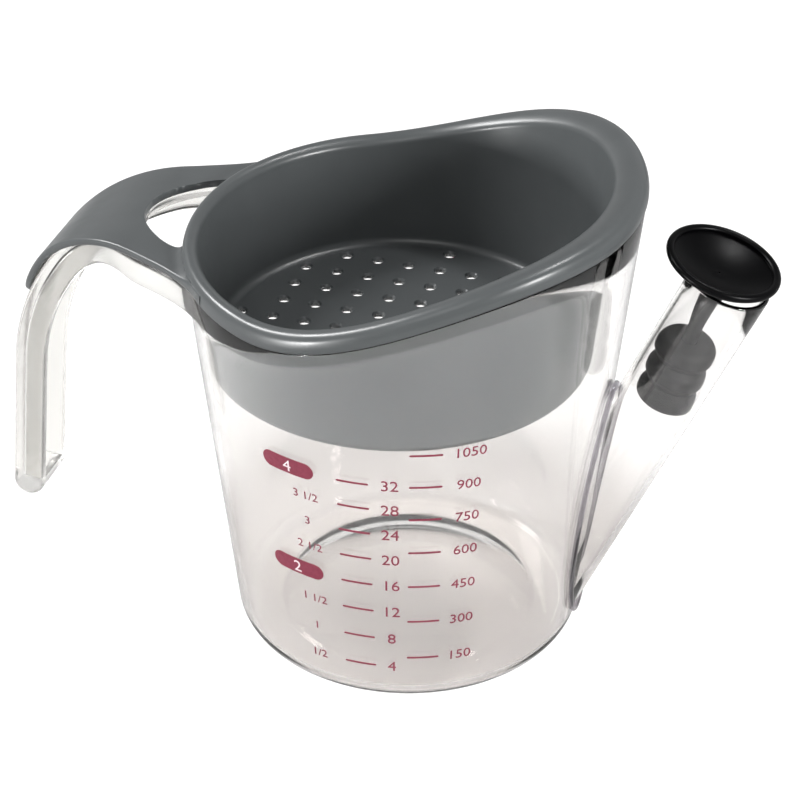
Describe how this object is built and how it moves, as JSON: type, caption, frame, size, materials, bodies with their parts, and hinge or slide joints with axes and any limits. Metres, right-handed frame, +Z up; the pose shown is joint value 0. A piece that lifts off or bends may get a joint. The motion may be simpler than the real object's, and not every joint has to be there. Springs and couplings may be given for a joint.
{
  "type": "gravy fat separator",
  "caption": "Clear tapered measuring jug with a hook handle, a low-set pouring spout, a lift-out perforated strainer and a pull-out spout stopper.",
  "frame": {"origin": "on the table, on the jug's own axis, at the middle of the base", "axes": "+X from the jug's axis towards the spout, -X towards the handle, +Z up; the print is on the -Y side"},
  "size_m": [0.2532, 0.1412, 0.1634],
  "materials": {
    "clear_jug": "clear injection-moulded styrene-acrylonitrile",
    "strainer_gray": "gray injection-moulded polypropylene, satin gloss",
    "plug_gray": "dark gray moulded silicone",
    "cap_black": "black moulded elastomer, satin",
    "ink_red": "red pad-printed ink"
  },
  "bodies": {
    "jug": {"jug_body": "clear_jug", "spout": "clear_jug", "handle": "clear_jug", "scale_marks": "ink_red", "cup_badges": "ink_red"},
    "strainer": {"strainer_basket": "strainer_gray", "strainer_flange": "strainer_gray", "strainer_tab": "strainer_gray"},
    "stopper": {"stopper_plug": "plug_gray", "stopper_stem": "plug_gray", "stopper_cap": "cap_black"}
  },
  "joints": [
    {"name": "strainer_lift", "type": "slide", "parent": "jug", "child": "strainer", "axis": [0, 0, 1], "range_m": [0, 0.08]},
    {"name": "stopper_pull", "type": "slide", "parent": "jug", "child": "stopper", "axis": [0.3955, 0, 0.9184], "range_m": [0, 0.055]}
  ]
}
